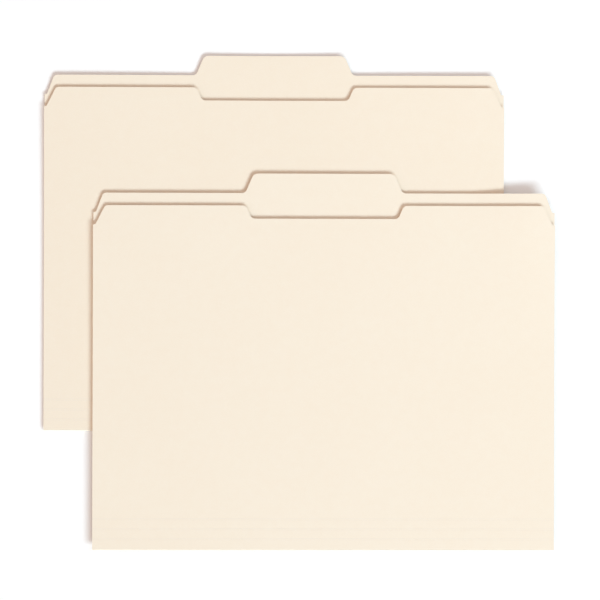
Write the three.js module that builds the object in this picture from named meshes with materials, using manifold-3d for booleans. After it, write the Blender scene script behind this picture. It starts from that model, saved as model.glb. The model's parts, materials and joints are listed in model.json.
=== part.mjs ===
// Two card file folders with centre tabs, closed, one laid on the other.
// Millimetres, +Z up. The lower folder's back leaf lies on the plane Z = 0.
//
// A folder is one sheet of card. From the tab downwards it is the back leaf, the bottom
// fold, three narrow gusset strips between pressed scores, and the front leaf. The card
// turns at the fold and at every score, so each stretch between two turns is a piece.

import * as THREE from "three";
import { mergeVertices, toCreasedNormals } from "three/addons/utils/BufferGeometryUtils.js";
import Module from "manifold-3d";

const wasm = await Module();
wasm.setup();

// Card
const cardThickness = 0.3;
const cardColour = "#f7ecd9";
const cardRoughness = 0.85;

// Leaves
const folderWidth = 295.3;
const backLeafHeight = 241.3; // fold to tab top
const frontLeafHeight = 220.7;
const foldOpening = 1.2; // clear height between the leaves at the fold
const backLeafRise = 1.4; // how far each leaf's free edge has curled up
const frontLeafRise = 0.8;
const curlStart = 110; // height up the folder where the curl begins
const curlEnd = 200; // and where it runs out straight

// Gusset
const scorePitch = 6.35;
const scoreCount = 3;
const scoreGap = 0.3; // between the pieces on either side of a turn

// Tab, and the undercut in the front leaf that lies below it. Widths are taken half way
// up the slopes.
const tabWidth = 95.5;
const tabHeight = 12.5;
const undercutWidth = 97.3;
const undercutDepth = 8.4;
const undercutShift = 0.6; // to the right of the leaf's middle
const tabSlopeAngle = 67;
const tabFootRadius = 3.5;
const tabShoulderRadius = 4.5;

// Top corners of the leaves: a sloping cut that ends on a small ledge at its foot
const cornerCutHeight = 12.3;
const backCornerSlopeAngle = 69;
const frontCornerSlopeAngle = 63;
const cornerTopRadius = 3;
const cornerFootRadius = 1.2;
const ledgeWidth = 1.6;
const ledgeRadius = 0.5;

// How the two folders lie
const upperShiftRight = 32;
const upperShiftDown = 76;
const restGap = 0.3;

// Fineness of the faceted solids
const curlSteps = 9;
const cornerSteps = 3;
const foldSteps = 14;
const trim = 1; // how far a blank stands past the outline that cuts it

const foldRadius = cardThickness + foldOpening / 2;
const frontSheetHeight = cardThickness + foldOpening;
const folderThickness = frontSheetHeight + cardThickness;
const leafStart = foldRadius + scoreGap;
const firstTurn = foldRadius + scoreGap / 2;
const lastScore = firstTurn + scoreCount * scorePitch;

function runOf(rise, angle) {
  return rise / Math.tan(THREE.MathUtils.degToRad(angle));
}

// Height of a curled sheet above its flat part: level, then bending, then straight.
function curl(y, top, rise) {
  const bent = (at) => {
    const along = THREE.MathUtils.clamp(at - curlStart, 0, curlEnd - curlStart);
    const beyond = Math.max(at - curlEnd, 0);
    return along * along / 2 + beyond * along;
  };
  return rise * bent(y) / bent(top);
}

// The arc that rounds one corner of an outline, touching the sides before and after it.
function addCornerArc(shape, [before, [x, y, radius], after]) {
  const corner = new THREE.Vector2(x, y);
  const back = new THREE.Vector2(before[0], before[1]).sub(corner).normalize();
  const on = new THREE.Vector2(after[0], after[1]).sub(corner).normalize();
  const halfAngle = Math.acos(back.dot(on)) / 2;
  const centre = back.clone().add(on).setLength(radius / Math.sin(halfAngle)).add(corner);
  const touchAngle = (side) => {
    const touch = side.clone().multiplyScalar(radius / Math.tan(halfAngle)).add(corner);
    return touch.sub(centre).angle();
  };
  const clockwise = back.cross(on) > 0;
  shape.absarc(centre.x, centre.y, radius, touchAngle(back), touchAngle(on), clockwise);
}

// A closed outline through corners [x, y] or [x, y, radius]. The first two are sharp.
function outlineThrough(corners) {
  const shape = new THREE.Shape();
  corners.forEach((corner, i) => {
    if (i === 0) {
      shape.moveTo(corner[0], corner[1]);
    } else if (corner.length === 2) {
      shape.lineTo(corner[0], corner[1]);
    } else {
      addCornerArc(shape, [corners[i - 1], corner, corners[(i + 1) % corners.length]]);
    }
  });
  return shape;
}

// A leaf's outline from its right half: the side, then the tab or undercut, which stands
// shift to the right of the leaf's middle.
function leafOutline(side, middle, shift = 0) {
  const mirrored = ([x, ...rest]) => [-x, ...rest];
  const shifted = ([x, ...rest]) => [x + shift, ...rest];
  const rightHalf = [...side, ...middle.map(shifted)];
  const leftHalf = [...side.map(mirrored), ...middle.map(mirrored).map(shifted)].reverse();
  const bottomLeft = leftHalf.pop();
  return outlineThrough([bottomLeft, ...rightHalf, ...leftHalf]);
}

function cutCorner(top, slopeAngle) {
  const side = folderWidth / 2;
  const foot = side - ledgeWidth;
  return [
    [side, top - cornerCutHeight, ledgeRadius],
    [foot, top - cornerCutHeight, cornerFootRadius],
    [foot - runOf(cornerCutHeight, slopeAngle), top, cornerTopRadius],
  ];
}

function backLeafOutline() {
  const shoulder = backLeafHeight - tabHeight;
  const halfRun = runOf(tabHeight, tabSlopeAngle) / 2;
  const side = [
    [folderWidth / 2, leafStart],
    ...cutCorner(shoulder, backCornerSlopeAngle),
  ];
  const tab = [
    [tabWidth / 2 + halfRun, shoulder, tabFootRadius],
    [tabWidth / 2 - halfRun, backLeafHeight, tabShoulderRadius],
  ];
  return leafOutline(side, tab);
}

function frontLeafOutline() {
  const halfRun = runOf(undercutDepth, tabSlopeAngle) / 2;
  const side = [
    [folderWidth / 2, lastScore + scoreGap / 2],
    ...cutCorner(frontLeafHeight, frontCornerSlopeAngle),
  ];
  const undercut = [
    [undercutWidth / 2 + halfRun, frontLeafHeight, tabFootRadius],
    [undercutWidth / 2 - halfRun, frontLeafHeight - undercutDepth, tabFootRadius],
  ];
  return leafOutline(side, undercut, undercutShift);
}

// A section drawn in (Y, Z) and run along X, centred.
function runAcross(section, width, curveSegments) {
  const across = new THREE.ExtrudeGeometry(section, {
    depth: width,
    bevelEnabled: false,
    curveSegments,
  });
  across.translate(0, 0, -width / 2);
  const [toX, toY, toZ] = [0, 1, 2].map((axis) => new THREE.Vector3().setComponent(axis, 1));
  return across.applyMatrix4(new THREE.Matrix4().makeBasis(toY, toZ, toX));
}

function toSolid(geometry) {
  geometry.deleteAttribute("normal");
  geometry.deleteAttribute("uv");
  const merged = mergeVertices(geometry);
  return new wasm.Manifold(new wasm.Mesh({
    numProp: 3,
    vertProperties: merged.attributes.position.array,
    triVerts: Uint32Array.from(merged.index.array),
  }));
}

function toGeometry(solid) {
  const { vertProperties, triVerts } = solid.getMesh();
  const geometry = new THREE.BufferGeometry();
  geometry.setAttribute("position", new THREE.BufferAttribute(vertProperties, 3));
  geometry.setIndex(new THREE.BufferAttribute(triVerts, 1));
  return toCreasedNormals(geometry, Math.PI / 6);
}

// The curled blank of a leaf, larger all round than the outline that cuts it.
function curledBlank(top, rise) {
  const bendEnd = Math.min(curlEnd, top);
  const bends = Array.from(
    { length: curlSteps + 1 },
    (_, i) => THREE.MathUtils.lerp(curlStart, bendEnd, i / curlSteps),
  );
  const stations = [-trim, ...bends, top + trim];
  const under = stations.map((y) => new THREE.Vector2(y, curl(y, top, rise)));
  const over = under.map((p) => new THREE.Vector2(p.x, p.y + cardThickness)).reverse();
  return runAcross(new THREE.Shape([...under, ...over]), folderWidth + 2 * trim);
}

function leafGeometry(outline, top, rise) {
  const cutter = new THREE.ExtrudeGeometry(outline, {
    depth: cardThickness + rise + 4 * trim,
    bevelEnabled: false,
    curveSegments: cornerSteps,
  });
  cutter.translate(0, 0, -2 * trim);
  return toGeometry(toSolid(curledBlank(top, rise)).intersect(toSolid(cutter)));
}

// The half-round bead of the bottom fold, about its own axis.
function foldGeometry() {
  const section = new THREE.Shape();
  section.absarc(0, 0, foldRadius, -Math.PI / 2, Math.PI / 2, true);
  section.absarc(0, 0, foldRadius - cardThickness, Math.PI / 2, -Math.PI / 2, false);
  return runAcross(section, folderWidth, foldSteps / 2);
}

function stripGeometry() {
  return new THREE.BoxGeometry(folderWidth, scorePitch - scoreGap, cardThickness);
}

function card() {
  return new THREE.MeshStandardMaterial({
    color: cardColour,
    roughness: cardRoughness,
    metalness: 0,
  });
}

function piece(name, geometry, y, z) {
  const mesh = new THREE.Mesh(geometry, card());
  mesh.name = name;
  mesh.position.set(0, y, z);
  return mesh;
}

// One closed folder. Its origin is under the middle of the bottom fold's outer edge.
function folder(prefix) {
  const group = new THREE.Group();
  const backLeaf = leafGeometry(backLeafOutline(), backLeafHeight, backLeafRise);
  const frontLeaf = leafGeometry(frontLeafOutline(), frontLeafHeight, frontLeafRise);
  group.add(piece(`${prefix}_back_leaf`, backLeaf, 0, 0));
  group.add(piece(`${prefix}_bottom_fold`, foldGeometry(), foldRadius, foldRadius));
  for (let strip = 1; strip <= scoreCount; strip += 1) {
    const middle = firstTurn + (strip - 0.5) * scorePitch;
    const name = `${prefix}_gusset_strip_${strip}`;
    group.add(piece(name, stripGeometry(), middle, frontSheetHeight + cardThickness / 2));
  }
  group.add(piece(`${prefix}_front_leaf`, frontLeaf, 0, frontSheetHeight));
  return group;
}

// The pair, centred on the plane that it rests on.
function foldersAtRest() {
  const lower = folder("lower");
  const upper = folder("upper");
  const lowerFold = (upperShiftDown - backLeafHeight) / 2;
  lower.position.set(-upperShiftRight / 2, lowerFold, 0);
  upper.position.set(upperShiftRight / 2, lowerFold - upperShiftDown, folderThickness + restGap);
  return new THREE.Group().add(lower, upper);
}

export default foldersAtRest();
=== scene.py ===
# %% [markdown]
# # Two manila file folders
# A manila folder is one sheet of buff card: a back leaf with a tab, a fold along the
# bottom, three narrow strips between pressed scores, and a front leaf. Two of them lie
# closed, one on the other. The solids that carry their joints are loaded first, as a frame
# that never moves. Everything made here is card that fits this frame.

import json
import math

import bmesh
import bpy
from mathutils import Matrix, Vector
from mathutils.geometry import delaunay_2d_cdt


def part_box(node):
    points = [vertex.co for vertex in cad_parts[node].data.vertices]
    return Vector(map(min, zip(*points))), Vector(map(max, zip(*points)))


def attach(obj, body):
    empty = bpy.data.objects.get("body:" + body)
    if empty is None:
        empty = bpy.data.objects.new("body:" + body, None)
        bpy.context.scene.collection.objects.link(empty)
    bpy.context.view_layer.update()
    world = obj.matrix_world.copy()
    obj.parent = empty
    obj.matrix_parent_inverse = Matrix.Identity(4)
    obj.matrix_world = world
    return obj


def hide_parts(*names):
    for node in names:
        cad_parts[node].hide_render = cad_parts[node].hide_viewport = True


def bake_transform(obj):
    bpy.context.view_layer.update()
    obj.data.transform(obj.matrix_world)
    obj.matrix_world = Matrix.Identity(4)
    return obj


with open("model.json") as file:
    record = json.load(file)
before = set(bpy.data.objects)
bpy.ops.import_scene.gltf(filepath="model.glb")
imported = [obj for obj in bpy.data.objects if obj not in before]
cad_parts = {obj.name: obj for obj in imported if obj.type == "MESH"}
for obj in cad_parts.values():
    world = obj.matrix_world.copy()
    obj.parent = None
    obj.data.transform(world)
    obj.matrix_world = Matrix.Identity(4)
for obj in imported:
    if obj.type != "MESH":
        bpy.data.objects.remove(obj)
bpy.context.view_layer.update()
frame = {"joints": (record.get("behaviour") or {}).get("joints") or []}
MM = 0.001

# %% [markdown]
# ## Camera
# The folders are seen from straight above, from about half a metre: near enough for the
# upper folder to look a little larger than the lower one. A long lens from far away would
# lose that. The camera stands a little off the middle of the pair, and it is turned by a
# fraction of a degree, as a camera held by hand over a table is.

# %% Camera
CAMERA_PLACE = (-1.6 * MM, 0.2 * MM, 499.1 * MM)
CAMERA_TURN = (0.17, -0.27, 0.13)  # degrees about X, Y and Z
PICTURE_PIXELS = 600
FOCAL_PIXELS = 774
CLIP_START = 10 * MM

camera_data = bpy.data.cameras.new("camera")
camera_data.lens = camera_data.sensor_width * FOCAL_PIXELS / PICTURE_PIXELS
camera_data.clip_start = CLIP_START
camera = bpy.data.objects.new("camera", camera_data)
camera.location = CAMERA_PLACE
camera.rotation_euler = [math.radians(angle) for angle in CAMERA_TURN]
bpy.context.scene.collection.objects.link(camera)
bpy.context.scene.camera = camera
bpy.context.scene.view_settings.view_transform = "Standard"
print("lens in mm:", round(camera_data.lens, 2))

# %% [markdown]
# ## Trees of nodes
# The world, the materials and the shapes of the card are all trees of nodes. They could be
# wired by hand in the editor, but a script builds them the same way every time. It repeats
# a few calls very often: make a node, set or link its inputs, work out one number. Short
# helpers for these keep the trees readable.

# %% Helpers for node trees


def new_tree(name, kind="GeometryNodeTree"):
    """An empty node tree."""
    return bpy.data.node_groups.new(name, kind)


def add_input(tree, name, kind="NodeSocketFloat", default=None):
    """A named input on a tree."""
    socket = tree.interface.new_socket(name, in_out="INPUT", socket_type=kind)
    if default is not None:
        socket.default_value = default
    return socket


def add_output(tree, name, kind="NodeSocketGeometry"):
    """A named output on a tree."""
    return tree.interface.new_socket(name, in_out="OUTPUT", socket_type=kind)


def put(socket, value):
    """Links a socket to a value's output, or sets it to a plain number."""
    if isinstance(value, bpy.types.NodeSocket):
        socket.id_data.links.new(value, socket)
    else:
        socket.default_value = value


def node(tree, kind, settings=None, **inputs):
    """A node with its properties set, and its inputs linked or set by name."""
    made = tree.nodes.new(kind)
    for key, value in (settings or {}).items():
        setattr(made, key, value)
    for key, value in inputs.items():
        put(made.inputs[key.replace("_", " ")], value)
    return made


def maths(tree, operation, *values):
    """The output of a Math node."""
    made = tree.nodes.new("ShaderNodeMath")
    made.operation = operation
    for socket, value in zip(made.inputs, values):
        put(socket, value)
    return made.outputs[0]


def ramp(tree, value, low, high, start=0.0, end=1.0):
    """From start, where the value is low, smoothly to end, where it is high."""
    made = node(tree, "ShaderNodeMapRange", {"interpolation_type": "SMOOTHSTEP"}, Value=value)
    sockets = ("From Min", "From Max", "To Min", "To Max")
    for name, limit in zip(sockets, (low, high, start, end)):
        put(made.inputs[name], limit)
    return made.outputs["Result"]


def mix_colours(tree, factor, a, b):
    """A colour between a and b."""
    mix = tree.nodes.new("ShaderNodeMix")
    mix.data_type = "RGBA"
    put(mix.inputs["Factor"], factor)
    put(mix.inputs["A"], a)
    put(mix.inputs["B"], b)
    return mix.outputs["Result"]


def end_tree(tree, name, value):
    """Sends a value to the tree's output of that name."""
    put(tree.nodes.new("NodeGroupOutput").inputs[name], value)


HELPERS = (new_tree, add_input, add_output, put, node, maths, ramp, mix_colours, end_tree)
print("helpers:", ", ".join(helper.__name__ for helper in HELPERS))

# %% [markdown]
# ## Light
# The shadows fall to the upper left. Above the top edges they are dark and firm, and beside
# the left edges they fade out slowly. A wide, low lamp to the lower right does this, as a
# window would: seen from the folders it is much wider than it is high. The card is also a
# little brighter on its right side, so a second, nearer lamp stands there. A white world
# fills the shadows, a little warmer than the key lamp and brighter from the left.
# Together they light a level white sheet at just about full white, so that a colour looks
# as it is written.

# %% Lamps
KEY = {
    "towards": (0.55, -0.835),  # where it stands, seen from above
    "elevation": math.radians(27),
    "distance": 12.0,
    "width": 11.0,
    "height": 2.4,
    "share": 0.55,
    "colour": (0.86, 1.04, 1.13),
}
FILL = {
    "towards": (0.88, 0.47),
    "elevation": math.radians(40),
    "distance": 1.2,
    "width": 0.9,
    "height": 0.9,
    "share": 0.11,
    "colour": (0.90, 1.00, 1.08),
}


def add_lamp(name, towards, elevation, distance, width, height, share, colour):
    """A flat lamp that gives its share of full white on a level sheet at the origin."""
    lamp = bpy.data.lights.new(name, "AREA")
    lamp.shape = "RECTANGLE"
    lamp.size = width
    lamp.size_y = height
    lamp.color = colour
    # A small lamp gives watts * sin(elevation) / (pi * distance)**2 of full white.
    lamp.energy = share * math.pi**2 * distance**2 / math.sin(elevation)
    level = Vector(towards).normalized() * math.cos(elevation)
    direction = Vector((level.x, level.y, math.sin(elevation)))
    holder = bpy.data.objects.new(name, lamp)
    holder.location = direction * distance
    holder.rotation_euler = direction.to_track_quat("Z", "Y").to_euler()
    bpy.context.scene.collection.objects.link(holder)
    print(name, "lamp watts:", round(lamp.energy, 1))


add_lamp("key", **KEY)
add_lamp("fill", **FILL)

# %% World
WHITE = (1, 1, 1, 1)
WORLD_SHARE = 0.42
WORLD_COLOUR = (1.21, 0.94, 0.81, 1)
WORLD_TOWARDS = (-1.0, 0.1, 0)  # where the world is brightest


def add_world():
    """A warm white world: WORLD_SHARE of full white as light, and full white to the camera.

    It is brighter on the side that the shadows fall to, as if a pale wall stood there.
    """
    world = bpy.data.worlds.new("world")
    world.use_nodes = True
    tree = world.node_tree
    wall = node(tree, "ShaderNodeVectorMath", {"operation": "DOT_PRODUCT"})
    put(wall.inputs[0], tree.nodes.new("ShaderNodeTexCoord").outputs["Generated"])
    put(wall.inputs[1], WORLD_TOWARDS)
    strength = maths(tree, "MULTIPLY_ADD", wall.outputs["Value"], WORLD_SHARE, WORLD_SHARE)
    strength.node.use_clamp = True
    lit = tree.nodes["Background"]
    put(lit.inputs["Color"], WORLD_COLOUR)
    put(lit.inputs["Strength"], strength)
    seen = node(tree, "ShaderNodeBackground", Color=WHITE)
    camera_ray = tree.nodes.new("ShaderNodeLightPath").outputs["Is Camera Ray"]
    either = tree.nodes.new("ShaderNodeMixShader")
    for socket, value in zip(either.inputs, (camera_ray, lit.outputs[0], seen.outputs[0])):
        put(socket, value)
    put(tree.nodes["World Output"].inputs["Surface"], either.outputs[0])
    bpy.context.scene.world = world


add_world()
print("world share:", WORLD_SHARE)

# %% [markdown]
# ## Floor
# The folders lie on a white table that shows no edge. A curved backdrop could stand for it,
# but a wide level plane does as well, because nothing is seen behind the folders. It is
# white to the camera, with their shadows on it. To the light it is a mid grey, so that it
# throws no glare up under a lifted sheet. Further out, where no shadow falls, it glows more
# and more and so runs into the white of the world.

# %% Floor
FLOOR_HALF = 6.0  # metres
FLOOR_ALBEDO = 0.6  # to the light
FLOOR_COLOUR = (0.98, 1.00, 1.01, 1)
FLOOR_GLOW = 0.06  # seen by the camera alone
FAR_GLOW = 0.8
GLOW_RISES = (0.35, 1.6)  # metres from the middle


def floor_material():
    """White to the camera and a mid grey to the light. It glows more and more further out."""
    material = bpy.data.materials.new("floor")
    material.use_nodes = True
    tree = material.node_tree
    shader = tree.nodes["Principled BSDF"]
    shader.inputs["Roughness"].default_value = 1
    shader.inputs["Specular IOR Level"].default_value = 0
    camera_ray = tree.nodes.new("ShaderNodeLightPath").outputs["Is Camera Ray"]
    grey = (FLOOR_ALBEDO, FLOOR_ALBEDO, FLOOR_ALBEDO, 1)
    put(shader.inputs["Base Color"], mix_colours(tree, camera_ray, grey, FLOOR_COLOUR))
    away = node(tree, "ShaderNodeVectorMath", {"operation": "LENGTH"})
    put(away.inputs[0], tree.nodes.new("ShaderNodeTexCoord").outputs["Object"])
    glow = ramp(tree, away.outputs["Value"], *GLOW_RISES, FLOOR_GLOW, FAR_GLOW)
    put(shader.inputs["Emission Strength"], maths(tree, "MULTIPLY", camera_ray, glow))
    shader.inputs["Emission Color"].default_value = WHITE
    return material


def add_floor():
    """A wide level floor under the folders."""
    mesh = bpy.data.meshes.new("floor")
    signs = ((-1, -1), (1, -1), (1, 1), (-1, 1))
    corners = [(x * FLOOR_HALF, y * FLOOR_HALF, 0) for x, y in signs]
    mesh.from_pydata(corners, [], [(0, 1, 2, 3)])
    mesh.materials.append(floor_material())
    floor = bpy.data.objects.new("floor", mesh)
    bpy.context.scene.collection.objects.link(floor)


add_floor()
print("floor width in m:", 2 * FLOOR_HALF)

# %% [markdown]
# ## Sizes
# What the solids can tell is read from them: where each folder lies, how thick its card
# is, and where it turns. The joints stand on the fold and on the scores, so a joint's
# place is a turn's place. The outline of a leaf is written out here in millimetres, because
# the rounded corners are drawn finer than the solids have them.

# %% Where each folder lies
JOINTS = {joint["name"]: joint for joint in frame["joints"]}
PREFIXES = ("lower", "upper")
STRIPS = (1, 2, 3)


def turn_place(joint):
    """The (y, z) of the line that a joint turns on."""
    return JOINTS[joint]["pos_m"][1], JOINTS[joint]["pos_m"][2]


def measure_folder(prefix):
    """The main places of one folder, in metres, from its solids and joints."""
    back_low, back_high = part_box(f"{prefix}_back_leaf")
    front_low, front_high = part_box(f"{prefix}_front_leaf")
    strip_low, strip_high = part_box(f"{prefix}_gusset_strip_1")
    fold_low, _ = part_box(f"{prefix}_bottom_fold")
    card = strip_high.z - strip_low.z
    return {
        "left": back_low.x,
        "right": back_high.x,
        "fold": fold_low.y,
        "card": card,
        "back_z": back_low.z,
        "front_z": front_low.z,
        "back_top": back_high.y,
        "front_top": front_high.y,
        "back_rise": back_high.z - back_low.z - card,
        "front_rise": front_high.z - front_low.z - card,
        "fold_axis": turn_place(f"{prefix}_folder_opens"),
        "turns": [turn_place(f"{prefix}_gusset_fills")[0]]
        + [turn_place(f"{prefix}_score_{strip}_bends")[0] for strip in STRIPS],
    }


PLACES = {prefix: measure_folder(prefix) for prefix in PREFIXES}
for prefix, place in PLACES.items():
    print(prefix, {k: round(v / MM, 2) for k, v in place.items() if isinstance(v, float)})

# %% The outline's own sizes
CURL_START = 110 * MM  # above the fold
CURL_END = 200 * MM
TAB_WIDTH = 95.5 * MM  # half way up its slopes
TAB_HEIGHT = 12.5 * MM
UNDERCUT_WIDTH = 97.3 * MM
UNDERCUT_DEPTH = 8.4 * MM
UNDERCUT_SHIFT = 0.6 * MM  # to the right of the leaf's middle
TAB_SLOPE = math.radians(67)
TAB_FOOT_RADIUS = 3.5 * MM
TAB_SHOULDER_RADIUS = 4.5 * MM
CORNER_CUT = 12.3 * MM
BACK_CORNER_SLOPE = math.radians(69)
FRONT_CORNER_SLOPE = math.radians(63)
CORNER_TOP_RADIUS = 3 * MM
CORNER_FOOT_RADIUS = 1.2 * MM
LEDGE_WIDTH = 1.6 * MM
LEDGE_RADIUS = 0.5 * MM
CREASE_HALF = 0.5 * MM  # half the width of card that bends at a turn
print("tab in mm:", round(TAB_WIDTH / MM, 1), "x", round(TAB_HEIGHT / MM, 1))

# %% [markdown]
# ## Leaf outlines
# Die-cut card has no sharp inner corners: the knife runs round each one in a small arc. So
# an outline is a list of corners with a radius each, and one function turns a corner into
# an arc that touches both of its sides. Long sides are split into short steps, because the
# sheet will be bent between them.

# %% Outline through rounded corners
ARC_STEP = math.radians(6)
LEAST_ARC_STEPS = 3
EDGE_STEP = 5 * MM


def corner_points(before, corner, after, radius):
    """Points of the arc that rounds one corner, in order."""
    back = (before - corner).normalized()
    on = (after - corner).normalized()
    half_angle = back.angle(on) / 2
    centre = corner + (back + on).normalized() * radius / math.sin(half_angle)
    first = corner + back * radius / math.tan(half_angle) - centre
    sweep = math.pi - 2 * half_angle
    if back.cross(on) > 0:
        sweep = -sweep
    steps = max(LEAST_ARC_STEPS, math.ceil(abs(sweep) / ARC_STEP))
    return [centre + turned(first, sweep * i / steps) for i in range(steps + 1)]


def turned(vector, angle):
    """A flat vector turned anticlockwise."""
    c, s = math.cos(angle), math.sin(angle)
    return Vector((vector.x * c - vector.y * s, vector.x * s + vector.y * c))


def outline_through(corners):
    """A closed ring of points through corners (x, y, radius), with long sides split."""
    points = []
    for i, (x, y, radius) in enumerate(corners):
        corner = Vector((x, y))
        before = Vector(corners[i - 1][:2])
        after = Vector(corners[(i + 1) % len(corners)][:2])
        points += corner_points(before, corner, after, radius) if radius else [corner]
    ring = []
    for here, there in zip(points, points[1:] + points[:1]):
        steps = max(1, round((there - here).length / EDGE_STEP))
        ring += [here.lerp(there, i / steps) for i in range(steps)]
    return ring


SIDE = 50 * MM
SQUARE = outline_through([(0, 0, 0), (SIDE, 0, 0), (SIDE, SIDE, 0), (0, SIDE, 0)])
print("points round a 50 mm square:", len(SQUARE))

# %% Outlines of the two leaves


def mirrored(corners):
    """The same corners on the left, in order."""
    return [(-x, y, radius) for x, y, radius in reversed(corners)]


def leaf_outline(place, side, notch, shift=0.0):
    """A leaf's ring from its right side and the right half of its tab or undercut."""
    middle = (place["left"] + place["right"]) / 2
    top = [(x + shift, y, radius) for x, y, radius in notch + mirrored(notch)]
    corners = side + top + mirrored(side)
    return outline_through([(x + middle, y, radius) for x, y, radius in corners])


def cut_corner(half_width, top, slope):
    """A top corner: a small ledge, then a slope up to the top edge."""
    foot = half_width - LEDGE_WIDTH
    return [
        (half_width, top - CORNER_CUT, LEDGE_RADIUS),
        (foot, top - CORNER_CUT, CORNER_FOOT_RADIUS),
        (foot - CORNER_CUT / math.tan(slope), top, CORNER_TOP_RADIUS),
    ]


def back_outline(place):
    """The back leaf's outline, with its tab."""
    half_width = (place["right"] - place["left"]) / 2
    shoulder = place["back_top"] - TAB_HEIGHT
    half_run = TAB_HEIGHT / math.tan(TAB_SLOPE) / 2
    side = [(half_width, place["fold_axis"][0], 0)]
    side += cut_corner(half_width, shoulder, BACK_CORNER_SLOPE)
    tab = [
        (TAB_WIDTH / 2 + half_run, shoulder, TAB_FOOT_RADIUS),
        (TAB_WIDTH / 2 - half_run, place["back_top"], TAB_SHOULDER_RADIUS),
    ]
    return leaf_outline(place, side, tab)


def front_outline(place):
    """The front leaf's outline, with the undercut that shows the tab."""
    half_width = (place["right"] - place["left"]) / 2
    half_run = UNDERCUT_DEPTH / math.tan(TAB_SLOPE) / 2
    top = place["front_top"]
    side = [(half_width, place["turns"][-1] + CREASE_HALF, 0)]
    side += cut_corner(half_width, top, FRONT_CORNER_SLOPE)
    undercut = [
        (UNDERCUT_WIDTH / 2 + half_run, top, TAB_FOOT_RADIUS),
        (UNDERCUT_WIDTH / 2 - half_run, top - UNDERCUT_DEPTH, TAB_FOOT_RADIUS),
    ]
    return leaf_outline(place, side, undercut, UNDERCUT_SHIFT)


print("points round a back leaf:", len(back_outline(PLACES["lower"])))

# %% [markdown]
# ## A flat blank
# To bend smoothly, a sheet needs points inside its outline too. A constrained Delaunay
# triangulation joins the outline to a grid of inner points, keeps every side of the
# outline, and leaves no faces outside it.

# %% Blank cut from a triangulated sheet
GRID_STEP = 6 * MM
GRID_CLEARANCE = 0.4  # of a grid step, between inner points and the outline
INSIDE_FACES = 1  # the triangulation then leaves out the faces outside the ring
SAME_POINT = 1e-7  # metres


def inside(point, ring):
    """Whether a point lies inside a closed ring."""
    within = False
    for a, b in zip(ring, ring[1:] + ring[:1]):
        crosses = (a.y > point.y) != (b.y > point.y)
        if crosses and point.x < a.x + (point.y - a.y) * (b.x - a.x) / (b.y - a.y):
            within = not within
    return within


def grid_points(ring):
    """Points of a square grid that lie well inside a ring."""
    left, right = min(p.x for p in ring), max(p.x for p in ring)
    low, high = min(p.y for p in ring), max(p.y for p in ring)
    margin = GRID_CLEARANCE * GRID_STEP
    sides = [Vector(d) * margin for d in ((1, 0), (-1, 0), (0, 1), (0, -1))]
    found = []
    for i in range(1, int((right - left) / GRID_STEP)):
        for j in range(1, int((high - low) / GRID_STEP)):
            point = Vector((left + i * GRID_STEP, low + j * GRID_STEP))
            if all(inside(point + side, ring) for side in sides):
                found.append(point)
    return found


def blank_mesh(name, ring):
    """A flat mesh that fills a ring."""
    edges = [(i, (i + 1) % len(ring)) for i in range(len(ring))]
    points = ring + grid_points(ring)
    points, _, faces, *_ = delaunay_2d_cdt(points, edges, [], INSIDE_FACES, SAME_POINT)
    mesh = bpy.data.meshes.new(name)
    mesh.from_pydata([(p.x, p.y, 0) for p in points], [], faces)
    return mesh


print("inner points of a 50 mm square:", len(grid_points(SQUARE)))

# %% [markdown]
# ## Card as a thickened surface
# Every stretch of a folder is the same card, 0.3 mm thick. A Solidify modifier could give
# the thickness, but the cut edge has a finish of its own, so its faces have to be known.
# One small tree of Geometry Nodes, *thicken card*, raises a surface, closes it and marks
# the faces of the cut edge. The trees for the leaf, the strip and the bead all end in it.
# Their sizes are named inputs, so both folders use the same trees.

# %% Thicken card
CARD_THICKNESS = 0.3 * MM  # where a tree is given no other
MERGE_DISTANCE = 1e-6  # metres


def thicken_card_tree():
    """A surface becomes card: its faces are raised along their normals, and closed."""
    tree = new_tree("thicken card")
    add_input(tree, "Geometry", "NodeSocketGeometry")
    add_input(tree, "Thickness", default=CARD_THICKNESS)
    add_output(tree, "Geometry")
    given = tree.nodes.new("NodeGroupInput").outputs
    raised = node(
        tree,
        "GeometryNodeExtrudeMesh",
        Mesh=given["Geometry"],
        Offset_Scale=given["Thickness"],
        Individual=False,
    )
    marked = node(
        tree,
        "GeometryNodeStoreNamedAttribute",
        {"data_type": "FLOAT", "domain": "FACE"},
        Geometry=raised.outputs["Mesh"],
        Name="cut_edge",
        Value=raised.outputs["Side"],
    )
    under = node(tree, "GeometryNodeFlipFaces", Mesh=given["Geometry"])
    both = tree.nodes.new("GeometryNodeJoinGeometry")
    for side in (under.outputs["Mesh"], marked.outputs["Geometry"]):
        put(both.inputs["Geometry"], side)
    closed = node(
        tree,
        "GeometryNodeMergeByDistance",
        Geometry=both.outputs["Geometry"],
        Distance=MERGE_DISTANCE,
    )
    end_tree(tree, "Geometry", closed.outputs["Geometry"])
    return tree


THICKEN_CARD = thicken_card_tree()


def finish_tree(tree, given, surface):
    """Ends a tree: thickens the surface, realizes it and gives it the card material."""
    card = tree.nodes.new("GeometryNodeGroup")
    card.node_tree = THICKEN_CARD
    put(card.inputs["Geometry"], surface)
    put(card.inputs["Thickness"], given["Thickness"])
    real = node(tree, "GeometryNodeRealizeInstances", Geometry=card.outputs["Geometry"])
    painted = node(
        tree,
        "GeometryNodeSetMaterial",
        Geometry=real.outputs["Geometry"],
        Material=given["Material"],
    )
    end_tree(tree, "Geometry", painted.outputs["Geometry"])


print("thicken card nodes:", len(THICKEN_CARD.nodes))

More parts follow.
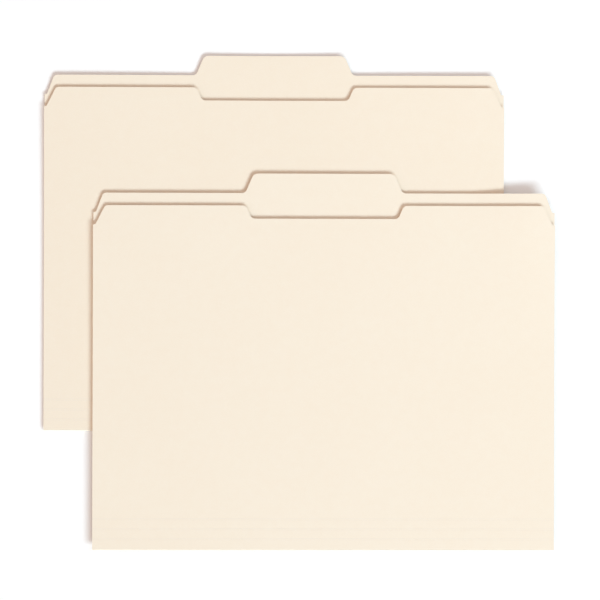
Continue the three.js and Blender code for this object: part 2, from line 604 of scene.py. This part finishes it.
# %% [markdown]
# ## The curl of a leaf
# A leaf lies level near the fold, because the sheets above and below hold it there. Higher
# up it is free, and it bends up a little and runs out straight to its edge. Cloth
# simulation could find such a shape, but it is stiff card, and the rule is simple: a
# parabola and its tangent. The tree multiplies it by a rise that changes from side to side:
# least at the tab, more at the shoulders, most at a right corner that has been bent up.
# A long, faint ripple keeps it from looking machined.

# %% Height of a curled leaf
TAB_DIP = 0.4  # of a half width: how far from the middle the shoulders are half way up
CORNER_RAMP = (0.62, 0.95)  # of a half width: where the turned-up right corner rises


def bent_height(tree, up, given):
    """Level up to the curl's start, then a parabola, then its tangent from the curl's end."""
    past = maths(tree, "SUBTRACT", up, given["Curl Start"])
    span = maths(tree, "SUBTRACT", given["Curl End"], given["Curl Start"])
    along = maths(tree, "MINIMUM", maths(tree, "MAXIMUM", past, 0.0), span)
    beyond = maths(tree, "SUBTRACT", up, given["Curl End"])
    beyond = maths(tree, "MAXIMUM", beyond, 0.0)
    parabola = maths(tree, "MULTIPLY", maths(tree, "MULTIPLY", along, along), 0.5)
    return maths(tree, "MULTIPLY_ADD", beyond, along, parabola)


def rise_across(tree, x, given):
    """How far the free edge rises: least at the tab, more at the shoulders and the corner."""
    right = maths(tree, "SUBTRACT", x, given["Middle"])
    right = maths(tree, "DIVIDE", right, given["Half Width"])
    rise = maths(tree, "MULTIPLY_ADD", right, given["Lean"], given["Rise"])
    square = maths(tree, "MULTIPLY", right, right)
    shoulders = maths(tree, "DIVIDE", square, maths(tree, "ADD", square, TAB_DIP**2))
    rise = maths(tree, "MULTIPLY_ADD", shoulders, given["Shoulders"], rise)
    corner = ramp(tree, right, *CORNER_RAMP)
    return maths(tree, "MULTIPLY_ADD", corner, given["Corner Lift"], rise)


def ripple_share(tree, place, up, given):
    """A long, soft ripple from 0 to 1, which fades towards the fold."""
    noise = node(
        tree,
        "ShaderNodeTexNoise",
        {"noise_dimensions": "4D"},
        Vector=place,
        W=given["Seed"],
        Scale=maths(tree, "DIVIDE", 1.0, given["Ripple Length"]),
        Detail=0.0,
    )
    free = maths(tree, "MINIMUM", maths(tree, "DIVIDE", up, given["Curl Start"]), 1.0)
    return maths(tree, "MULTIPLY", noise.outputs[0], maths(tree, "MULTIPLY", free, free))


print("corner rises, of a half width:", CORNER_RAMP)

# %% Curled leaf


def curled_leaf_tree():
    """A flat blank becomes a leaf that curls up, least at the tab, and ripples a little."""
    tree = new_tree("curled leaf")
    add_input(tree, "Geometry", "NodeSocketGeometry")
    for name in ("Fold", "Top", "Curl Start", "Curl End", "Rise", "Height", "Thickness"):
        add_input(tree, name)
    for name in ("Middle", "Half Width", "Lean", "Shoulders", "Corner Lift"):
        add_input(tree, name)
    add_input(tree, "Ripple", default=0.05 * MM)
    add_input(tree, "Ripple Length", default=120 * MM)
    add_input(tree, "Seed", "NodeSocketInt", 1)
    add_input(tree, "Material", "NodeSocketMaterial")
    add_output(tree, "Geometry")
    given = tree.nodes.new("NodeGroupInput").outputs
    place = tree.nodes.new("GeometryNodeInputPosition").outputs[0]
    parts = node(tree, "ShaderNodeSeparateXYZ", Vector=place)
    up = maths(tree, "SUBTRACT", parts.outputs["Y"], given["Fold"])
    full = maths(tree, "SUBTRACT", given["Top"], given["Fold"])
    share = maths(tree, "DIVIDE", bent_height(tree, up, given), bent_height(tree, full, given))
    curl = maths(tree, "MULTIPLY", share, rise_across(tree, parts.outputs["X"], given))
    ripple = ripple_share(tree, place, up, given)
    height = maths(tree, "MULTIPLY_ADD", ripple, given["Ripple"], curl)
    height = maths(tree, "ADD", height, given["Height"])
    offset = node(tree, "ShaderNodeCombineXYZ", Z=height)
    bent = node(
        tree,
        "GeometryNodeSetPosition",
        Geometry=given["Geometry"],
        Offset=offset.outputs[0],
    )
    finish_tree(tree, given, bent.outputs["Geometry"])
    return tree


CURLED_LEAF = curled_leaf_tree()
print("curled leaf nodes:", len(CURLED_LEAF.nodes))

# %% [markdown]
# ## A strip with a score
# Between the fold and the front leaf the sheet has three scores, lines where a rule has
# pressed the card so that it bends there. A score could be painted, but a groove in the
# mesh stays in every light. The tree makes a level grid and presses it along one line, in
# the shape of a cosine, so that it has no sharp sides. A few thousandths of a millimetre
# are enough: on a folder that is still flat, the scores can hardly be seen.

# %% Scored strip


def level_grid(tree, given):
    """A grid from From to To along Y and from Left to Right along X, at the origin's height."""
    width = maths(tree, "SUBTRACT", given["Right"], given["Left"])
    depth = maths(tree, "SUBTRACT", given["To"], given["From"])
    grid = node(
        tree,
        "GeometryNodeMeshGrid",
        Size_X=width,
        Size_Y=depth,
        Vertices_X=given["Across"],
        Vertices_Y=given["Along"],
    )
    middle_x = maths(tree, "MULTIPLY_ADD", width, 0.5, given["Left"])
    middle_y = maths(tree, "MULTIPLY_ADD", depth, 0.5, given["From"])
    middle = node(tree, "ShaderNodeCombineXYZ", X=middle_x, Y=middle_y)
    return node(
        tree,
        "GeometryNodeSetPosition",
        Geometry=grid.outputs["Mesh"],
        Offset=middle.outputs[0],
    )


def scored_strip_tree():
    """A level strip of card along the gusset, with a groove pressed along Score."""
    tree = new_tree("scored strip")
    for name in ("Left", "Right", "From", "To", "Height", "Thickness", "Score", "Groove Half"):
        add_input(tree, name)
    add_input(tree, "Groove Depth", default=0.01 * MM)
    add_input(tree, "Across", "NodeSocketInt", 40)
    add_input(tree, "Along", "NodeSocketInt", 2)
    add_input(tree, "Material", "NodeSocketMaterial")
    add_output(tree, "Geometry")
    given = tree.nodes.new("NodeGroupInput").outputs
    level = level_grid(tree, given)
    place = tree.nodes.new("GeometryNodeInputPosition").outputs[0]
    y = node(tree, "ShaderNodeSeparateXYZ", Vector=place).outputs["Y"]
    off = maths(tree, "ABSOLUTE", maths(tree, "SUBTRACT", y, given["Score"]))
    off = maths(tree, "MINIMUM", maths(tree, "DIVIDE", off, given["Groove Half"]), 1.0)
    dip = maths(tree, "COSINE", maths(tree, "MULTIPLY", off, math.pi))
    dip = maths(tree, "MULTIPLY", maths(tree, "ADD", dip, 1.0), 0.5)
    depth = maths(tree, "MULTIPLY", dip, given["Groove Depth"])
    height = maths(tree, "SUBTRACT", given["Height"], depth)
    offset = node(tree, "ShaderNodeCombineXYZ", Z=height)
    pressed = node(
        tree,
        "GeometryNodeSetPosition",
        Geometry=level.outputs["Geometry"],
        Offset=offset.outputs[0],
    )
    finish_tree(tree, given, pressed.outputs["Geometry"])
    return tree


SCORED_STRIP = scored_strip_tree()
print("scored strip nodes:", len(SCORED_STRIP.nodes))

# %% [markdown]
# ## The bead at the bottom fold
# At the bottom fold the card runs half round, in a bead about two millimetres high. It
# could be a pipe cut in half, but then its skin would not be the same card as the leaves.
# The tree rolls a narrow grid half round the fold's axis and gives it the card's thickness,
# so its ends meet the sheets on both sides exactly.

# %% Folded bead


def folded_bead_tree():
    """A strip rolled half round the bottom fold, from the back leaf to the front sheet."""
    tree = new_tree("folded bead")
    for name in ("Left", "Right", "Axis Y", "Axis Z", "Inner Radius", "Thickness"):
        add_input(tree, name)
    add_input(tree, "Across", "NodeSocketInt", 40)
    add_input(tree, "Around", "NodeSocketInt", 33)
    add_input(tree, "Material", "NodeSocketMaterial")
    add_output(tree, "Geometry")
    given = tree.nodes.new("NodeGroupInput").outputs
    width = maths(tree, "SUBTRACT", given["Right"], given["Left"])
    grid = node(
        tree,
        "GeometryNodeMeshGrid",
        Size_X=width,
        Size_Y=1.0,
        Vertices_X=given["Across"],
        Vertices_Y=given["Around"],
    )
    place = tree.nodes.new("GeometryNodeInputPosition").outputs[0]
    parts = node(tree, "ShaderNodeSeparateXYZ", Vector=place)
    x = maths(tree, "ADD", parts.outputs["X"], maths(tree, "MULTIPLY", width, 0.5))
    x = maths(tree, "ADD", x, given["Left"])
    turn = maths(tree, "MULTIPLY", parts.outputs["Y"], math.pi)
    out = maths(tree, "MULTIPLY", maths(tree, "COSINE", turn), given["Inner Radius"])
    up = maths(tree, "MULTIPLY", maths(tree, "SINE", turn), given["Inner Radius"])
    y = maths(tree, "SUBTRACT", given["Axis Y"], out)
    z = maths(tree, "ADD", given["Axis Z"], up)
    rolled = node(tree, "ShaderNodeCombineXYZ", X=x, Y=y, Z=z)
    bent = node(
        tree,
        "GeometryNodeSetPosition",
        Geometry=grid.outputs["Mesh"],
        Position=rolled.outputs[0],
    )
    finish_tree(tree, given, bent.outputs["Geometry"])
    return tree


FOLDED_BEAD = folded_bead_tree()
print("folded bead nodes:", len(FOLDED_BEAD.nodes))

# %% [markdown]
# ## The colour of manila card
# Manila is smooth, matt, buff card. Its face is nearly one colour, with a paler and a
# deeper shade that differ by a few hundredths. The knife opens the card, so the cut edge is
# a deeper tan. A picture of real card would do too, but it would repeat, and it would not
# fit the cut edges. Four effects are made instead, each as a node group of its own.

# %% Colours
CARD_BUFF = (0.942, 0.859, 0.719, 1)
CARD_PALE = (0.952, 0.883, 0.752, 1)
CARD_DEEP = (0.925, 0.815, 0.660, 1)
FIBRE_PALE = (0.980, 0.916, 0.802, 1)
SPECK_BROWN = (0.560, 0.400, 0.250, 1)
EDGE_BUFF = (0.880, 0.640, 0.400, 1)
# a shaded copy of the card's colour that only diffuse rays see: it paints warmer shade into the
# gaps between sheets
BOUNCE_SHADE_TAN = (0.955, 0.780, 0.540, 1)  # for the light that card throws on card
print("face", CARD_BUFF[:3], "cut edge", EDGE_BUFF[:3])

# %% [markdown]
# ## Cloudy pulp
# Where the pulp lay thicker in the mould, the card is a little paler or deeper, in soft
# patches without any edge. A noise texture of a few octaves looks like that. The size of
# its largest patches is an input, because the card uses it twice: broad and small.

# %% Cloudy pulp
PULP_RAMP = (0.3, 0.7)  # of the noise: where its patches begin and where they are full


def cloudy_pulp_group():
    """Soft patches, from broad ones down to a few millimetres."""
    tree = new_tree("cloudy pulp", "ShaderNodeTree")
    add_input(tree, "Vector", "NodeSocketVector")
    add_input(tree, "Patch", default=18 * MM)
    add_output(tree, "Mask", "NodeSocketFloat")
    given = tree.nodes.new("NodeGroupInput").outputs
    scale = maths(tree, "DIVIDE", 1.0, given["Patch"])
    noise = node(
        tree,
        "ShaderNodeTexNoise",
        Vector=given["Vector"],
        Scale=scale,
        Detail=4.0,
        Roughness=0.55,
    )
    end_tree(tree, "Mask", ramp(tree, noise.outputs[0], *PULP_RAMP))
    return tree


CLOUDY_PULP = cloudy_pulp_group()
print("cloudy pulp nodes:", len(CLOUDY_PULP.nodes))

# %% [markdown]
# ## Fibres
# Close to, pale fibres of one to three millimetres lie in every direction. Drawing each one
# would take thousands of curves that no camera can tell apart. Noise that is drawn out
# along one direction gives streaks of that shape, and four such layers, each turned another
# way, are enough to look like felt.

# %% Card fibres
FIBRE_LAYERS = (  # turn in radians, length and width in mm
    (0.3, 2.4, 0.16),
    (1.25, 2.0, 0.14),
    (-0.7, 2.8, 0.18),
    (2.2, 1.7, 0.13),
)
FIBRE_RAMP = (0.62, 0.74)  # of the noise: only its highest streaks show


def fibre_layer(tree, vector, turn, length, width):
    """Thin streaks in one direction: noise drawn out along the fibre."""
    mapping = node(tree, "ShaderNodeMapping", {"vector_type": "TEXTURE"}, Vector=vector)
    mapping.inputs["Rotation"].default_value = (0, 0, turn)
    mapping.inputs["Scale"].default_value = (length, width, width)
    noise = node(
        tree,
        "ShaderNodeTexNoise",
        Vector=mapping.outputs[0],
        Scale=1.0,
        Detail=1.0,
        Distortion=0.6,
    )
    return ramp(tree, noise.outputs[0], *FIBRE_RAMP)


def card_fibres_group():
    """Fibres lying in several directions, as one mask."""
    tree = new_tree("card fibres", "ShaderNodeTree")
    add_input(tree, "Vector", "NodeSocketVector")
    add_output(tree, "Mask", "NodeSocketFloat")
    given = tree.nodes.new("NodeGroupInput").outputs
    mask = 0.0
    for turn, length, width in FIBRE_LAYERS:
        layer = fibre_layer(tree, given["Vector"], turn, length * MM, width * MM)
        mask = maths(tree, "MAXIMUM", mask, layer)
    end_tree(tree, "Mask", mask)
    return tree


CARD_FIBRES = card_fibres_group()
print("fibre directions:", len(FIBRE_LAYERS))

# %% [markdown]
# ## Specks and tooth
# A few darker specks of bark are left in the pulp, about five centimetres apart. Voronoi
# cells hold one point each. Only a point that lies just at the card's face can be seen, and
# the cell's random colour decides whether it shows. The tooth is the fine roughness that a
# pencil feels. It is too small to model, so it is a height that only bends the light.

# %% Specks and tooth
SPECKS_KEPT = (0.55, 0.6)  # of a cell's random colour: below it no speck, above it a speck


def specks_group():
    """A few small dark specks of bark left in the pulp."""
    tree = new_tree("specks", "ShaderNodeTree")
    add_input(tree, "Vector", "NodeSocketVector")
    add_input(tree, "Spacing", default=7 * MM)
    add_input(tree, "Size", default=0.02)
    add_output(tree, "Mask", "NodeSocketFloat")
    given = tree.nodes.new("NodeGroupInput").outputs
    scale = maths(tree, "DIVIDE", 1.0, given["Spacing"])
    cells = node(tree, "ShaderNodeTexVoronoi", Vector=given["Vector"], Scale=scale)
    near = ramp(tree, cells.outputs["Distance"], given["Size"], 0.0)
    kept = node(tree, "ShaderNodeSeparateColor", Color=cells.outputs["Color"])
    few = ramp(tree, kept.outputs[0], *SPECKS_KEPT)
    end_tree(tree, "Mask", maths(tree, "MULTIPLY", near, few))
    return tree


def card_tooth_group():
    """The fine tooth of the face, as a height."""
    tree = new_tree("card tooth", "ShaderNodeTree")
    add_input(tree, "Vector", "NodeSocketVector")
    add_input(tree, "Grain", default=0.35 * MM)
    add_output(tree, "Height", "NodeSocketFloat")
    given = tree.nodes.new("NodeGroupInput").outputs
    scale = maths(tree, "DIVIDE", 1.0, given["Grain"])
    noise = node(
        tree,
        "ShaderNodeTexNoise",
        Vector=given["Vector"],
        Scale=scale,
        Detail=3.0,
        Roughness=0.6,
    )
    end_tree(tree, "Height", noise.outputs[0])
    return tree


SPECKS = specks_group()
CARD_TOOTH = card_tooth_group()
print("specks nodes:", len(SPECKS.nodes), "tooth nodes:", len(CARD_TOOTH.nodes))

# %% [markdown]
# ## The card's finish
# The four effects are laid over each other, each by a small share, as they are in real card.
# The cut edge has the attribute that *thicken card* left on its faces, and it is rougher
# and deeper in colour. All of it hangs on the piece's own coordinates, so it turns with the
# sheet when a folder opens. The two folders get the pattern from two different places, and
# the lower one is a shade deeper, as two sheets from different batches are. The light that
# card throws on card is painted a deeper tan: a diffuse ray meets a shaded copy of the
# card's colour, which keeps the shade in the gaps between sheets warm.

# %% Masks, colour and roughness of the card
BROAD_PATCH = 60 * MM
SMALL_PATCH = 6 * MM
BROAD_SHARE = 0.35  # how far each effect takes the colour to its own
SMALL_SHARE = 0.18
FIBRE_SHARE = 0.35
SPECK_SHARE = 0.5
EDGE_SHARE = 0.8
FACE_ROUGHNESS = 0.82
EDGE_ROUGHNESS = 0.95
ROUGHNESS_SPREAD = 0.06


def placed(tree, group, vector, **inputs):
    """A shader group in a material, fed with coordinates."""
    made = tree.nodes.new("ShaderNodeGroup")
    made.node_tree = group
    put(made.inputs["Vector"], vector)
    for key, value in inputs.items():
        put(made.inputs[key], value)
    return made.outputs[0]


def card_masks(tree, shift):
    """The masks of the effects, moved by a shift, and the mark of the cut edge."""
    place = tree.nodes.new("ShaderNodeTexCoord").outputs["Object"]
    moved = node(tree, "ShaderNodeMapping", Vector=place)
    moved.inputs["Location"].default_value = shift
    vector = moved.outputs[0]
    return {
        "broad": placed(tree, CLOUDY_PULP, vector, Patch=BROAD_PATCH),
        "small": placed(tree, CLOUDY_PULP, vector, Patch=SMALL_PATCH),
        "fibres": placed(tree, CARD_FIBRES, vector),
        "specks": placed(tree, SPECKS, vector),
        "tooth": placed(tree, CARD_TOOTH, vector),
        "cut": node(tree, "ShaderNodeAttribute", {"attribute_name": "cut_edge"}).outputs["Fac"],
    }


def laid_over(tree, colour, mask, share, paint):
    """A colour that goes a share of the way to paint where a mask is full."""
    return mix_colours(tree, maths(tree, "MULTIPLY", mask, share), colour, paint)


def card_colour(tree, masks, deeper):
    """Pale and deep shades, fibres, specks and the tan of the cut edge, in that order."""
    colour = laid_over(tree, CARD_BUFF, masks["broad"], BROAD_SHARE, CARD_PALE)
    deep = maths(tree, "MULTIPLY_ADD", masks["small"], SMALL_SHARE, deeper)
    colour = mix_colours(tree, deep, colour, CARD_DEEP)
    colour = laid_over(tree, colour, masks["fibres"], FIBRE_SHARE, FIBRE_PALE)
    colour = laid_over(tree, colour, masks["specks"], SPECK_SHARE, SPECK_BROWN)
    return laid_over(tree, colour, masks["cut"], EDGE_SHARE, EDGE_BUFF)


def card_roughness(tree, masks):
    """Matt, a little smoother on the fibres, and roughest on the cut edge."""
    rough = maths(tree, "MULTIPLY_ADD", masks["small"], ROUGHNESS_SPREAD, FACE_ROUGHNESS)
    rough = maths(tree, "MULTIPLY_ADD", masks["fibres"], -ROUGHNESS_SPREAD, rough)
    return maths(tree, "MAXIMUM", rough, maths(tree, "MULTIPLY", masks["cut"], EDGE_ROUGHNESS))


print("roughness of face and cut edge:", FACE_ROUGHNESS, EDGE_ROUGHNESS)

# %% The card material
SPECULAR = 0.3
TOOTH_BUMP = 0.012 * MM
FIBRE_BUMP = 0.6  # of the tooth


def card_material(name, shift, deeper):
    """Manila card: the pattern is moved by a shift, and the colour is a share deeper."""
    material = bpy.data.materials.new(name)
    material.use_nodes = True
    tree = material.node_tree
    shader = tree.nodes["Principled BSDF"]
    masks = card_masks(tree, shift)
    colour = card_colour(tree, masks, deeper)
    # painted shade: light bounced from card to card takes the deeper tan, so the gaps between
    # sheets look warmer
    bounced = tree.nodes.new("ShaderNodeLightPath").outputs["Is Diffuse Ray"]
    put(shader.inputs["Base Color"], mix_colours(tree, bounced, colour, BOUNCE_SHADE_TAN))
    put(shader.inputs["Roughness"], card_roughness(tree, masks))
    shader.inputs["Specular IOR Level"].default_value = SPECULAR
    height = maths(tree, "MULTIPLY_ADD", masks["fibres"], FIBRE_BUMP, masks["tooth"])
    bump = node(tree, "ShaderNodeBump", Height=height, Distance=TOOTH_BUMP)
    put(shader.inputs["Normal"], bump.outputs[0])
    return material


CARD = {
    "lower": card_material("manila_card_lower", shift=(0.31, 0.12, 0), deeper=0.2),
    "upper": card_material("manila_card_upper", shift=(0.77, 0.43, 0.2), deeper=0.0),
}
print("materials:", [material.name for material in CARD.values()])

# %% [markdown]
# ## From trees to plain pieces
# A tree is run on a throw-away object, and its result is kept as a plain mesh. Joints move
# whole pieces, so each stretch of card is one object. A knife and a press leave edges that
# are slightly rounded, so the rims of the cut edges get a very small bevel. The seams
# between two stretches are left square: there the card runs on.

# %% Run a tree and keep its mesh


def input_sockets(tree):
    """The identifiers of a tree's inputs, by their names."""
    return {
        item.name: item.identifier
        for item in tree.interface.items_tree
        if item.item_type == "SOCKET" and item.in_out == "INPUT"
    }


def run_tree(tree, name, base=None, **inputs):
    """The plain mesh object that a tree makes."""
    source = bpy.data.objects.new(f"{name}_source", base or bpy.data.meshes.new(name))
    bpy.context.scene.collection.objects.link(source)
    modifier = source.modifiers.new("card", "NODES")
    modifier.node_group = tree
    sockets = input_sockets(tree)
    for key, value in inputs.items():
        modifier[sockets[key.replace("_", " ")]] = value
    graph = bpy.context.evaluated_depsgraph_get()
    mesh = bpy.data.meshes.new_from_object(source.evaluated_get(graph), depsgraph=graph)
    bpy.data.objects.remove(source)
    piece = bpy.data.objects.new(name, mesh)
    bpy.context.scene.collection.objects.link(piece)
    return piece


print("inputs of a leaf:", ", ".join(input_sockets(CURLED_LEAF)))

# %% Rims, shading and a check
RIM_BEVEL = 0.04 * MM
RIM_SEGMENTS = 2
ROUND_PROFILE = 0.5
RIM_ANGLE = math.radians(60)
SMOOTH_ANGLE = math.radians(15)


def soften_rims(piece, seams):
    """Bevels the rims of the cut edges, but leaves the seams at the given y square."""
    bm = bmesh.new()
    bm.from_mesh(piece.data)
    rims = []
    for edge in bm.edges:
        if len(edge.link_faces) != 2 or edge.calc_face_angle() < RIM_ANGLE:
            continue
        on_seam = any(all(abs(v.co.y - y) < MERGE_DISTANCE for v in edge.verts) for y in seams)
        if not on_seam:
            rims.append(edge)
    bmesh.ops.bevel(
        bm,
        geom=rims,
        offset=RIM_BEVEL,
        segments=RIM_SEGMENTS,
        profile=ROUND_PROFILE,
        affect="EDGES",
        clamp_overlap=True,
    )
    bm.to_mesh(piece.data)
    bm.free()


def smooth(piece):
    """Smooth shading, with the angles of the cut edge kept."""
    piece.data.polygons.foreach_set("use_smooth", [True] * len(piece.data.polygons))
    piece.data.set_sharp_from_angle(angle=SMOOTH_ANGLE)


def open_edges(piece):
    """How many edges don't join exactly two faces: none on a closed piece."""
    bm = bmesh.new()
    bm.from_mesh(piece.data)
    count = sum(len(edge.link_faces) != 2 for edge in bm.edges)
    bm.free()
    return count


def finish_piece(piece, seams):
    """Softened rims and smooth shading."""
    soften_rims(piece, seams)
    smooth(piece)
    print(piece.name, "faces", len(piece.data.polygons), "open edges", open_edges(piece))
    return piece


print("rim bevel in mm:", round(RIM_BEVEL / MM, 3))

# %% [markdown]
# ## The leaves
# The two leaves of a folder are the large sheets that everyone sees. The back leaf stands
# for the solid of the same name and reaches the fold's axis. The front leaf begins at the
# last score. No sheet of card lies quite flat: the shoulders curl up more than the tab, and
# the upper folder's top right corner stands about two millimetres higher. That shows in
# how wide the shadows are. Both leaves of a folder follow the same shape, so that the gap
# between them stays even.

# %% Back and front leaves
SHAPES = {
    "lower": {"Slack": 0.45 * MM, "Lean": 0.15 * MM, "Shoulders": 0.85 * MM, "Corner Lift": 0.0},
    "upper": {"Slack": 0.45 * MM, "Lean": 0.0, "Shoulders": 0.1 * MM, "Corner Lift": 1.8 * MM},
}
FRONT_FOLLOWS = 0.76  # the front leaf is shorter, so its free edge takes part in less of it
LEAF_SEEDS = {"lower": (3, 4), "upper": (13, 14)}  # for the ripple of back and front leaf


def make_leaf(prefix, leaf, ring, top, rise, height, follows, seed):
    """One leaf of a folder, cut and curled."""
    place = PLACES[prefix]
    shape = {name: value * follows for name, value in SHAPES[prefix].items()}
    return run_tree(
        CURLED_LEAF,
        f"{prefix}_{leaf}_sheet",
        blank_mesh(f"{leaf}_blank", ring),
        Fold=place["fold"],
        Top=top,
        Curl_Start=CURL_START,
        Curl_End=CURL_END,
        Rise=rise - shape["Slack"],
        Height=height,
        Thickness=place["card"],
        Middle=(place["left"] + place["right"]) / 2,
        Half_Width=(place["right"] - place["left"]) / 2,
        Lean=shape["Lean"],
        Shoulders=shape["Shoulders"],
        Corner_Lift=shape["Corner Lift"],
        Seed=seed,
        Material=CARD[prefix],
    )


def make_leaves(prefix):
    """Both leaves of a folder, riding on their bodies."""
    place = PLACES[prefix]
    back_seed, front_seed = LEAF_SEEDS[prefix]
    top, rise = place["back_top"], place["back_rise"]
    ring, height = back_outline(place), place["back_z"]
    back = make_leaf(prefix, "back", ring, top, rise, height, 1, back_seed)
    finish_piece(back, [place["fold_axis"][0]])
    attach(back, f"{prefix}_back_leaf")
    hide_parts(f"{prefix}_back_leaf")
    top, rise = place["front_top"], place["front_rise"]
    ring, height = front_outline(place), place["front_z"]
    front = make_leaf(prefix, "front", ring, top, rise, height, FRONT_FOLLOWS, front_seed)
    finish_piece(front, [place["turns"][-1] + CREASE_HALF])
    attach(front, f"{prefix}_front_leaf")
    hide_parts(f"{prefix}_front_leaf")


for prefix in PREFIXES:
    make_leaves(prefix)

# %% [markdown]
# ## The bottom fold
# Card doesn't turn on a knife edge, so the bead is what bends when a folder opens. A rigid
# bead would tear from one of the two sheets. Here the bead is one piece, made at rest and
# left where it lies, on no body.

# %% Bottom fold


def make_bead(prefix):
    """The bead at rest, left in place on no body."""
    place = PLACES[prefix]
    axis_y, axis_z = place["fold_axis"]
    inner = axis_z - place["back_z"] - place["card"]
    bead = run_tree(
        FOLDED_BEAD,
        f"{prefix}_fold_bead",
        Left=place["left"],
        Right=place["right"],
        Axis_Y=axis_y,
        Axis_Z=axis_z,
        Inner_Radius=inner,
        Thickness=place["card"],
        Material=CARD[prefix],
    )
    finish_piece(bead, [axis_y])
    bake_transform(bead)
    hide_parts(f"{prefix}_bottom_fold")


for prefix in PREFIXES:
    make_bead(prefix)

# %% [markdown]
# ## The gusset
# At a score the card bends within about a millimetre. Each such crease is a narrow piece of
# its own, made at rest and left in place on no body. The level strips between the creases
# ride on one body each. One long strip with four bends in it would do for a picture, but a
# piece can bend across one joint only.

# %% Strips and scores
SCORE_DEPTH = 0.005 * MM
SCORE_POINTS = 9  # across a scored stretch
LEVEL_POINTS = 2  # across a level one
OPEN_GAP = 0.02 * MM  # between the two sheets of a folder that lies open


def make_stretch(prefix, name, start, end, score=None):
    """A stretch of the front sheet between two seams, with a groove if it has a score."""
    place = PLACES[prefix]
    stretch = run_tree(
        SCORED_STRIP,
        name,
        Left=place["left"],
        Right=place["right"],
        From=start,
        To=end,
        Height=place["front_z"],
        Thickness=place["card"],
        Score=(start + end) / 2 if score is None else score,
        Groove_Half=CREASE_HALF,
        Groove_Depth=0.0 if score is None else SCORE_DEPTH,
        Along=LEVEL_POINTS if score is None else SCORE_POINTS,
        Material=CARD[prefix],
    )
    return finish_piece(stretch, [start, end])


def make_gusset(prefix):
    """Crease stretches at the turns, left in place, and level strips between them on their
    bodies.
    """
    place = PLACES[prefix]
    bodies = [f"{prefix}_bottom_fold"]
    bodies += [f"{prefix}_gusset_strip_{strip}" for strip in STRIPS]
    bodies += [f"{prefix}_front_leaf"]
    for number, turn in enumerate(place["turns"]):
        start = turn - CREASE_HALF if number else place["fold_axis"][0] + OPEN_GAP
        end = turn + CREASE_HALF
        score = turn if number else None
        crease = make_stretch(prefix, f"{prefix}_crease_{number}", start, end, score)
        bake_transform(crease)
    for strip in STRIPS:
        start = place["turns"][strip - 1] + CREASE_HALF
        end = place["turns"][strip] - CREASE_HALF
        level = make_stretch(prefix, f"{prefix}_strip_{strip}", start, end)
        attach(level, f"{prefix}_gusset_strip_{strip}")
        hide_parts(f"{prefix}_gusset_strip_{strip}")


for prefix in PREFIXES:
    make_gusset(prefix)
